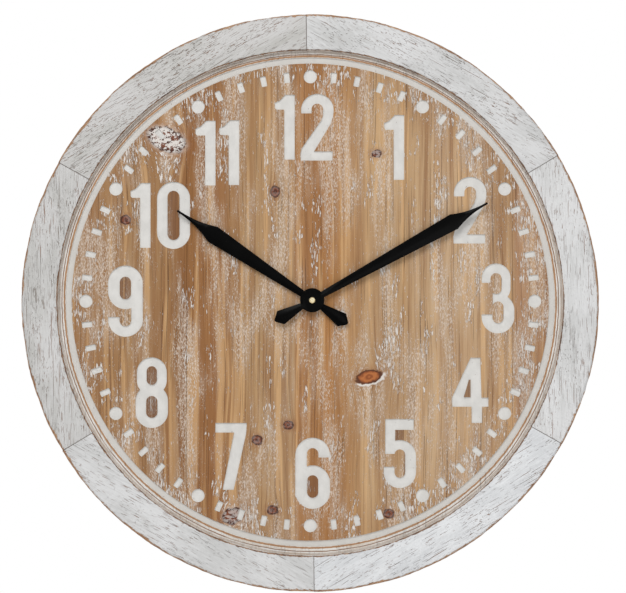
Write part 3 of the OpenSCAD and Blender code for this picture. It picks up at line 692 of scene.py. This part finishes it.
# %% [markdown]
# The finish of the planks is layered as it was made: first the wood with its rings, streaks and
# knots, then a thin pale wash left in the grain, then white flecks where paint stayed in the
# pores, and last the clean halo that the router and sandpaper left round each number. Each
# plank has its own tone, like boards from different trees. One material does for all five,
# so the rings on the ledge run on from plank to plank.

# %% Washed plank finish
def washed_wood():
    wood = Finish("washed_dial_wood", Specular_IOR_Level=0.3)
    x, _, z = wood.xyz()
    radius = far(x, z)
    from_cut = wood.node("Attribute", out="Fac", attribute_name="from_cut")
    counter = wood.node("Attribute", out="Fac", attribute_name="in_counter")
    nearest, painted, bend, lip = knot_field(wood)
    sway = (wood.noise((60, 9, 240), 3, detail=1) - 0.5) * 14
    along = x + bend + sway

    def streaks(width, length, seed, detail=2.0, rough=0.5):
        vector = wood.together(along / width + seed * 37, z / length + seed * 11, seed * 5.3)
        return wood.noise(vector=vector, detail=detail, rough=rough)

    def over(value, limit, soft=0.03):
        return wood.step(value - limit, 0.0, soft)

    # the wood: tone of each plank, rings, fine streaks
    plank_tone = wood.ramp((x + 280) / 560,
                           (0.00, rgb(166, 126, 84)), (0.20, rgb(166, 131, 91)),
                           (0.264, rgb(143, 98, 54)), (0.268, rgb(146, 101, 57)),
                           (0.32, rgb(151, 104, 62)), (0.38, rgb(179, 144, 102)),
                           (0.469, rgb(178, 145, 109)), (0.473, rgb(177, 131, 87)),
                           (0.536, rgb(172, 120, 68)), (0.56, rgb(178, 132, 84)),
                           (0.61, rgb(196, 162, 121)), (0.675, rgb(192, 159, 119)),
                           (0.75, rgb(197, 166, 130)), (0.80, rgb(193, 161, 125)),
                           (0.88, rgb(187, 154, 116)), (0.89, rgb(178, 139, 106)),
                           (1.00, rgb(170, 131, 97)))
    rings = streaks(6, 420, 1, 3, 0.6)
    fine = streaks(0.9, 70, 2, 3, 0.7)
    broad = streaks(22, 260, 15, 2)
    deep = wood.step(streaks(2.0, 200, 3, 2.5), 0.54, 0.68)
    glow = wood.step(streaks(8, 300, 4, 3, 0.6), 0.50, 0.64)
    crack = wood.step(streaks(0.9, 130, 5, 1.5), 0.68, 0.71)
    # darker heartwood beside the left joint, and darker towards the rim
    offset = wood.node("Math", {0: x + sway + 137}, operation="ABSOLUTE")
    heart = wood.step(offset, 13, 2) * wood.step(z, 70, 0)
    tone = wood.coats(
        plank_tone, (wood.step(broad, 0.60, 0.38) * 0.34, rgb(134, 88, 50)),
        (wood.step(rings * 0.5 + fine * 0.5, 0.58, 0.40) * 0.5, rgb(138, 92, 52)),
        (deep * 0.38, rgb(120, 76, 44)), (glow * 0.55, rgb(218, 176, 126)),
        (crack * 0.65, rgb(88, 56, 38)),
        (heart * (0.2 + deep * 0.3 + fine * 0.2), rgb(104, 66, 40)),
        (wood.step(radius, 200, 252) * 0.28, rgb(142, 98, 60)))
    # knots: brown core, rings, a dark edge
    ringed = wood.node("Math", {0: nearest * 9 + rings * 6}, operation="SINE") * 0.5 + 0.5
    dull = wood.step(painted, 0.0, 0.1)
    core = wood.mix(ringed, wood.mix(dull, rgb(140, 76, 38), rgb(76, 40, 30)),
                    wood.mix(dull, rgb(180, 108, 58), rgb(126, 72, 48)))
    rim_of_knot = wood.step(nearest, 0.70, 0.90) * wood.step(nearest, 1.12, 1.0)
    tone = wood.coats(tone, (wood.step(nearest, 2.2, 0.9) * 0.45, rgb(140, 88, 50)),
                      (wood.step(nearest, 1.05, 0.9), core),
                      (rim_of_knot * 0.8, rgb(70, 38, 26)))
    # wash: a pale haze of fine specks in patches, then white flecks along the grain, each with a
    # painted shadow as a dark rim round it
    clear = wood.step(nearest, 1.0, 1.3)
    halo = wood.step(from_cut + (fine - 0.5) * 4, 1.6, 5.0) * clear
    share = wood.step(wood.noise((26, 9, 130), 12, detail=3, rough=0.6), 0.40, 0.60)
    haze = share * halo * wood.step(streaks(2.2, 60, 6, 3, 0.62), 0.38, 0.60)
    speck = over(streaks(0.8, 2.8, 9, 3, 0.65), 0.69 - share * 0.185) * halo
    outer = wood.step(radius, 205, 240) * wood.step(wood.noise((30, 30, 30), 14), 0.44, 0.56)
    thick = wood.step(wood.noise((16, 9, 52), 13, detail=2), 0.55, 0.66).largest(outer)
    pores = streaks(1.3, 9, 7, 3, 0.65)
    fleck = over(pores, 0.665 - thick * 0.12 - share * 0.02, 0.02) * halo
    # painted shadow: a dark rim round each white fleck
    painted_fleck_shadow = over(pores, 0.625 - thick * 0.12, 0.02) * (1 - fleck) * halo * thick
    crackle = wood.step(wood.noise((3.4, 3.4, 2.6), 31, detail=3, rough=0.7), 0.465, 0.50)
    ring_fill = wood.step(nearest, 1.6, 1.2) * wood.step(nearest, 0.95, 1.15)
    white = fleck.largest(painted * painted * crackle).largest(
        painted * painted * ring_fill * 0.6).largest(lip)
    tone = wood.coats(tone, (haze * 0.42, rgb(200, 180, 160)), (speck * 0.64, rgb(224, 210, 196)),
                      (painted_fleck_shadow * 0.55, rgb(104, 66, 42)), (white * 0.92, rgb(226, 220, 214)))
    # the closed middles of the numbers are darker, and so is the wood at the very edge of every
    # cut
    darker_counter = counter * wood.step(from_cut, 0.6, 3.0) * (0.5 + wood.step(fine, 0.4, 0.6) * 0.5)
    tone = wood.coats(tone, (darker_counter * 0.8, rgb(108, 70, 46)),
                      (wood.step(from_cut, 1.2, 0.2) * 0.3, rgb(146, 106, 74)))
    # the ledge between the minute ring and the rim: white, with two brown rings rubbed through,
    # and painted shade in the corner at the foot of the rim's wall
    from_rim, from_ring = far(x, z + dial_rise), far(x, z + dial_rise - ring_rise)
    wander = (wood.noise((34, 34, 34), 41, detail=2) - 0.5) * 2.4
    ragged = (wood.noise((4, 4, 4), 42, detail=3) - 0.5) * 1.2
    swept = wood.noise(vector=wood.together(x / 30, z / 30, radius / 0.6), detail=2)

    def rubbed(value, at, half):
        return wood.step(value, at - half - 0.3, at - half) * wood.step(
            value, at + half + 0.3, at + half)

    ledge = wood.step(from_ring, 258.2, 258.8)      # mm, from the outside of the groove
    painted_ledge = wood.mix(wood.step(swept, 0.40, 0.52), rgb(208, 196, 182), rgb(228, 226, 222))
    near_ring = rubbed(from_ring + wander * 0.4 + ragged, 260.1, 0.8)
    near_rim = rubbed(from_rim + wander * 0.7 + ragged * 0.6, 262.9, 0.35)
    # painted shade: a darker band where the ledge meets the rim's wall
    corner = wood.step(from_rim + ragged, 264.0, 265.2)
    tone = wood.coats(tone, (ledge, painted_ledge), (ledge * near_ring * 0.92, rgb(168, 122, 80)),
                      (ledge * near_rim * wood.step(wander, -0.9, -0.1) * 0.9, rgb(128, 88, 58)),
                      (corner * 0.5, rgb(158, 136, 118)))
    wood.set(Base_Color=tone, Roughness=0.62 + fine * 0.16 - white * 0.1)
    height = fine * 0.45 + rings * 0.25 - deep * 0.3 - crack * 0.9 + white * 0.45 + speck * 0.2
    return wood.relief(height - wood.step(nearest, 1.15, 0.9) * 0.3, 0.5)


washed = washed_wood()
print(washed.material.name, "has", len(washed.tree.nodes), "nodes")

# %% [markdown]
# The cuts are filled with chalky off-white paint. It has a few pinholes, is darker along the edges
# of each cut, and is darker in the ring groove. Each face of a plank gets its finish by its depth:
# the front is washed, the floors of the cuts are painted, and the back is bare.

# %% Mark paint and five planks
def mark_paint():
    paint = Finish("white_mark_paint", Specular_IOR_Level=0.35)
    x, _, z = paint.xyz()
    ring = paint.step(far(x, z), 248, 250)
    from_cut = paint.node("Attribute", out="Fac", attribute_name="from_cut")
    cloud = paint.noise((11, 11, 14), 50, detail=3)
    grain = paint.noise((1.0, 4, 22), 51, detail=2)
    hole = paint.step(paint.noise((2.0, 2.0, 3.4), 52, detail=2), 0.745, 0.77)
    tone = paint.coats(
        rgb(210, 208, 204),
        (paint.step(cloud * 0.85 + grain * 0.15, 0.36, 0.64), rgb(219, 217, 213)),
        (ring * 0.5, rgb(198, 193, 186)),
        (paint.step(from_cut, 0.7, 0.1) * 0.35, rgb(190, 174, 156)),
        (hole * 0.7, rgb(128, 98, 78)))
    paint.set(Base_Color=tone, Roughness=0.55 + grain * 0.15)
    return paint.relief(grain * 0.25 + cloud * 0.6 - hole, 0.25)


marks = mark_paint()
for number in range(1, 6):
    piece = plank(number)
    coat(piece, washed)
    coat(piece, marks, lambda f: f.calc_center_median().y < recess_floor + 0.1 * mm and (
        f.calc_center_median().y > dial_front + 0.6 * mm))
    coat(piece, upright_wood, lambda f: f.calc_center_median().y > recess_floor + 0.2 * mm)
    settle(piece, "clock", [f"dial_board_{number}"])

# %% [markdown]
# ## Hands
# Both hands are stamped steel, folded along the middle and coated satin black. A stamped edge is
# never perfectly sharp, so a copy of the CAD shape gets a small bevel that catches the light. A
# fine grain in the coating breaks up the highlight.

# %% Black hands
def black_coat():
    black = Finish("satin_black_coat", Specular_IOR_Level=0.05)
    grain = black.noise((0.5, 0.5, 0.5), 80, detail=2)
    rub = black.noise((16, 16, 16), 81, detail=3)
    black.set(Base_Color=black.mix(rub, rgb(2, 2, 2), rgb(5, 5, 5)),
              Roughness=0.14 + rub * 0.2 + grain * 0.06)
    return black.relief(grain, 0.02)


def rounded(piece, width, degrees=28, segments=2):
    """Bevels the sharp edges of a piece with a modifier and applies it."""
    only(piece)
    bevel = piece.modifiers.new("soft edge", "BEVEL")
    bevel.width, bevel.segments = width * mm, segments
    bevel.limit_method, bevel.angle_limit = "ANGLE", math.radians(degrees)
    bpy.ops.object.modifier_apply(modifier=bevel.name)
    return piece


satin_black = black_coat()
for node in ("hour_hand", "minute_hand"):
    hand = rounded(copy_of(node, f"stamped_{node}"), 0.15)
    coat(hand, satin_black)
    settle(smooth(hand, 20), node, [node])

# %% [markdown]
# ## Screws
# The CAD screws are plain pins with flat heads. A real one has a domed pan head with a cross
# recess. One screw is shaped from a cylinder: its head is bevelled to a dome, the shank is
# extruded and drawn to a point, and two crossed wedges are cut from the head. The thread is
# left out, because it is buried in wood.

# %% One screw
head_thick = 1.6 * mm


def cross_cutter(reach, deep):
    """Two crossed wedges that taper inwards along -Y from the plane y = 0."""
    blades = []
    for turn in (0, 90):
        bpy.ops.mesh.primitive_cube_add(size=1)
        blade = bpy.context.object
        with editing(blade):
            everything()
            bpy.ops.transform.resize(value=(2 * reach, 2 * deep, 0.28 * reach))
            pick(blade, "verts", lambda v: v.co.y < 0)
            bpy.ops.transform.resize(value=(0.45, 1, 0.5))
            turn_all(turn)
        blades.append(blade)
    return joined(blades)


def one_screw(head_radius, length):
    """A screw with the underside of its head at y = 0, its shank along -Y."""
    bpy.ops.mesh.primitive_cylinder_add(vertices=32, radius=head_radius, depth=head_thick,
                                        location=(0, head_thick / 2, 0),
                                        rotation=(math.radians(90), 0, 0))
    screw = bpy.context.object
    bpy.ops.object.transform_apply(location=True, rotation=True)
    with editing(screw):
        pick(screw, "edges", lambda e: all(v.co.y > head_thick * 0.9 for v in e.verts))
        bpy.ops.mesh.bevel(offset=head_thick * 0.62, segments=5, profile=0.5, affect="EDGES")
        pick(screw, "faces", lambda f: f.normal.y < -0.9)
        bpy.ops.mesh.inset(thickness=head_radius - 1.5 * mm)
        for reach, size in ((length - 4 * mm, 1.0), (4 * mm, 0.08)):
            bpy.ops.mesh.extrude_region_move(TRANSFORM_OT_translate={"value": (0, -reach, 0)})
            bpy.ops.transform.resize(value=(size, 1, size))
    cutter = cross_cutter(head_radius * 0.62, head_thick * 0.6)
    for vertex in cutter.data.vertices:
        vertex.co.y += head_thick
    recess = screw.modifiers.new("cross recess", "BOOLEAN")
    recess.object, recess.operation, recess.solver = cutter, "DIFFERENCE", "EXACT"
    recess.use_self = True
    only(screw)
    bpy.ops.object.modifier_apply(modifier=recess.name)
    bpy.data.objects.remove(cutter)
    return screw


print(f"screw shape ready, head {head_thick / mm} mm thick")

# %% [markdown]
# A CAD node holds all screws of one kind as loose bodies. Their places are measured there, and
# a copy of the finished screw goes to each, turned a little differently, as a screwdriver
# leaves them. Typed-in places would go wrong as soon as the CAD moved a screw.

# %% Screws in their places
def screw_places(node):
    """The middle, ends and head radius of every loose screw in a CAD node."""
    probe = copy_of(node, "probe")
    form = bmesh.new()
    form.from_mesh(probe.data)
    places = []
    for group in islands(form.verts, lambda v: [e.other_vert(v) for e in v.link_edges]):
        low, high = (Vector(map(end, zip(*(v.co for v in group)))) for end in (min, max))
        places.append(((low + high) / 2, low.y, high.y, (high.x - low.x) / 2))
    form.free()
    bpy.data.objects.remove(probe)
    return sorted(places, key=lambda p: (round(p[0].x, 4), round(p[0].z, 4)))


def all_screws(node, turn_step):
    """One piece for a CAD node of screws, each turned turn_step degrees from the last."""
    places = screw_places(node)
    _, tip, top, head_radius = places[0]
    model = one_screw(head_radius, top - tip - head_thick)
    copies = []
    for i, (at, _, _, _) in enumerate(places):
        screw = bpy.data.objects.new(f"{node}_{i}", model.data.copy())
        bpy.context.scene.collection.objects.link(screw)
        with editing(screw):
            turn_all(i * turn_step)
            bpy.ops.transform.translate(value=(at.x, top - head_thick, at.z))
        copies.append(screw)
    bpy.data.objects.remove(model)
    piece = joined(copies)
    piece.name = f"cross_head_{node}"
    print(f"{node}: {len(places)}")
    return piece


screws = {node: all_screws(node, turn_step) for node, turn_step in (
    ("dial_screws", 37), ("batten_screws", 53), ("hanger_screws", 41))}

# %% [markdown]
# ## Metal and plastic of the movement
# Most of these parts keep their CAD shapes: they are small, turned, stamped or moulded, and
# already exact. What makes them real is the finish: drawn streaks on zinc, turning lines on
# brass, a fine spark-eroded grain on the moulded case, fibres in felt. Two functions cover
# nearly all of them.

# %% Small finishes
def speckled(name, first, second, size, roughness, depth, **constants):
    """A finish that varies between two colours over spots of a given size in mm."""
    made = Finish(name, **constants)
    spots = made.noise((size,) * 3, len(bpy.data.materials), detail=4, rough=0.6)
    slow = made.noise((size * 14,) * 3, len(bpy.data.materials) + 1, detail=2)
    made.set(Base_Color=made.mix(made.step(spots * 0.6 + slow * 0.4, 0.35, 0.65), first, second),
             Roughness=roughness + (slow - 0.5) * 0.2 + (spots - 0.5) * 0.1)
    return made.relief(spots, depth)


def drawn(name, first, second, size, roughness, depth, **constants):
    """A metal finish with fine drawn streaks: size gives a streak along X, Y and Z in mm."""
    made = Finish(name, Metallic=1.0, **constants)
    streak = made.noise(size, 90, detail=3)
    stain = made.noise((5, 5, 5), 91, detail=3)
    made.set(Base_Color=made.mix(made.step(stain * 0.6 + streak * 0.4, 0.35, 0.65), first, second),
             Roughness=roughness + (streak - 0.5) * 0.25 + (stain - 0.5) * 0.15)
    return made.relief(streak, depth)


zinc = drawn("zinc_plate", rgb(168, 170, 172), rgb(206, 208, 208), (6, 0.3, 0.3), 0.36, 0.02)
steel = drawn("contact_spring_steel", rgb(176, 174, 168), rgb(208, 206, 200), (0.3, 0.3, 7),
              0.28, 0.01)
iron = drawn("motor_iron", rgb(120, 118, 114), rgb(158, 156, 150), (0.4, 0.2, 4), 0.4, 0.02)
brass = drawn("turned_brass", rgb(224, 202, 150), rgb(246, 236, 204), (2.4, 0.12, 2.4), 0.3, 0.015)
case_plastic = speckled("moulded_black_case", rgb(24, 24, 26), rgb(36, 36, 39), 0.35, 0.5, 0.03)
gear_plastic = speckled("acetal_gears", rgb(214, 208, 192), rgb(232, 228, 216), 0.8, 0.38, 0.01,
                        Subsurface_Weight=0.12, Subsurface_Scale=0.001)
bobbin_plastic = speckled("bobbin_nylon", rgb(196, 186, 164), rgb(214, 206, 186), 0.7, 0.42, 0.01)
rubber = speckled("gasket_rubber", rgb(26, 26, 26), rgb(42, 41, 40), 0.3, 0.8, 0.03)
felt = speckled("bumper_felt", rgb(96, 92, 88), rgb(142, 138, 132), 0.28, 0.95, 0.3,
                Sheen_Weight=0.4)
epoxy = speckled("chip_epoxy", rgb(14, 14, 15), rgb(28, 28, 30), 0.8, 0.25, 0.03)
magnet = speckled("ferrite_magnet", rgb(58, 56, 58), rgb(78, 76, 78), 0.25, 0.55, 0.02)
dowel_wood = bare_wood("beech_dowels", 0, rgb(214, 180, 140), rgb(180, 138, 98), seed=9)
print("small finishes ready")

# %% [markdown]
# Three parts have a pattern of their own: the wound wire of the coil, the tracks under the
# green mask of the circuit board, and the coloured sleeve of the battery.

# %% Winding, circuit board and battery
wire_pitch = 0.22                               # mm from one turn of wire to the next
band_starts, plus_end, minus_end = 11.7, 25.3, -23.8    # mm right of the shaft


def winding():
    """Enamelled copper wire, wound round a coil that stands along Z."""
    wire = Finish("copper_winding", Metallic=1.0)
    _, _, z = wire.xyz()
    turn = wire.node("Math", {0: z * (2 * math.pi / wire_pitch)}, operation="SINE") * 0.5 + 0.5
    wave = wire.noise((3, 3, 1.2), 95, detail=2)
    wire.set(Base_Color=wire.mix(turn * 0.6 + wave * 0.4, rgb(150, 74, 40), rgb(214, 130, 84)),
             Roughness=0.25 + wave * 0.2)
    return wire.relief(turn, 0.08)


def board_green():
    """Solder mask over copper tracks: bands of a coarse, squared-off pattern."""
    board = Finish("circuit_board_mask", Specular_IOR_Level=0.6)
    track = board.node("TexBrick", {"Vector": board.place((3.2, 1000, 3.2)), "Scale": 1.0,
                                    "Mortar Size": 0.12, "Brick Width": 1.4,
                                    "Row Height": 0.5}, out="Fac")
    spots = board.noise((1.2, 1.2, 1.2), 96, detail=2)
    board.set(Base_Color=board.mix(track, rgb(26, 92, 52), rgb(44, 122, 72)),
              Roughness=0.28 + spots * 0.2)
    return board.relief(track, 0.03)


def battery_sleeve():
    """A plain printed sleeve: dark body, copper band at the plus end, bare steel ends."""
    sleeve = Finish("battery_sleeve", Specular_IOR_Level=0.5)
    sleeve.middle = shaft_middle
    x, _, _ = sleeve.xyz()
    band = sleeve.step(x, band_starts - 0.1, band_starts + 0.1)
    ends = sleeve.step(x, plus_end - 0.1, plus_end + 0.1).largest(
        sleeve.step(x, minus_end + 0.1, minus_end - 0.1))
    scuff = sleeve.noise((6, 2, 2), 97, detail=4, rough=0.65)
    tone = sleeve.coats(rgb(38, 40, 46), (band, rgb(188, 122, 74)), (ends, rgb(190, 190, 188)),
                        (sleeve.step(scuff, 0.62, 0.75) * 0.3, rgb(150, 148, 144)))
    sleeve.set(Base_Color=tone, Metallic=ends.largest(band * 0.7), Roughness=0.24 + scuff * 0.25)
    return sleeve.relief(scuff, 0.02)


copper, mask, sleeve_print = winding(), board_green(), battery_sleeve()
print("materials:", len(bpy.data.materials))

# %% [markdown]
# A CAD part whose shape is right only changes its material. The screws are new pieces, so they
# are also parented to the body they ride on, and the CAD node they replace is hidden.

# %% Finishes on the CAD parts and the screws
dressed = [
    (zinc, "hanger_plate"),
    (steel, "battery_contact_plus", "battery_contact_minus", "quartz_crystal"),
    (iron, "stator", "coil_core"),
    (brass, "minute_nut", "shaft_bushing", "bushing_washer", "bushing_nut", "minute_arbor"),
    (case_plastic, "movement_front_case", "middle_plate"),
    (gear_plastic, "centre_wheel", "third_wheel", "seconds_wheel", "intermediate_wheel",
     "motion_wheel", "hour_wheel"),
    (bobbin_plastic, "coil_bobbin"), (copper, "coil_winding"), (mask, "circuit_board"),
    (epoxy, "clock_chip"), (magnet, "rotor"), (rubber, "bushing_gasket"),
    (felt, "wall_bumpers"), (dowel_wood, "rim_dowels"), (sleeve_print, "battery")]
for finish, *names in dressed:
    for name in names:
        mesh = bpy.data.objects[name].data
        mesh.materials.clear()
        mesh.materials.append(finish.material)
print(sum(len(names) for _, *names in dressed), "CAD parts dressed")

for node, piece in screws.items():
    coat(piece, zinc)
    settle(smooth(piece, 35), "clock", [node])

# %% [markdown]
# Three kinds of part are seen from behind with corners that a mould or a sander would have
# rounded: the battens, the movement's cover and the setting knob. They are copied, and a
# bevel takes the sharpness off.

# %% Softened corners
for node, body, finish, slot, width in (
        ("batten_upper", "clock", crosswise_wood, "inner_wood", 0.8),
        ("batten_lower", "clock", crosswise_wood, "inner_wood", 0.8),
        ("movement_back_cover", "clock", case_plastic, "case_plastic", 0.3),
        ("set_knob", "set_knob", case_plastic, "case_plastic", 0.2)):
    softened = rounded(copy_of(node, f"softened_{node}"), width, 40)
    coat(softened, finish)
    settle(smooth(softened), body, [node])
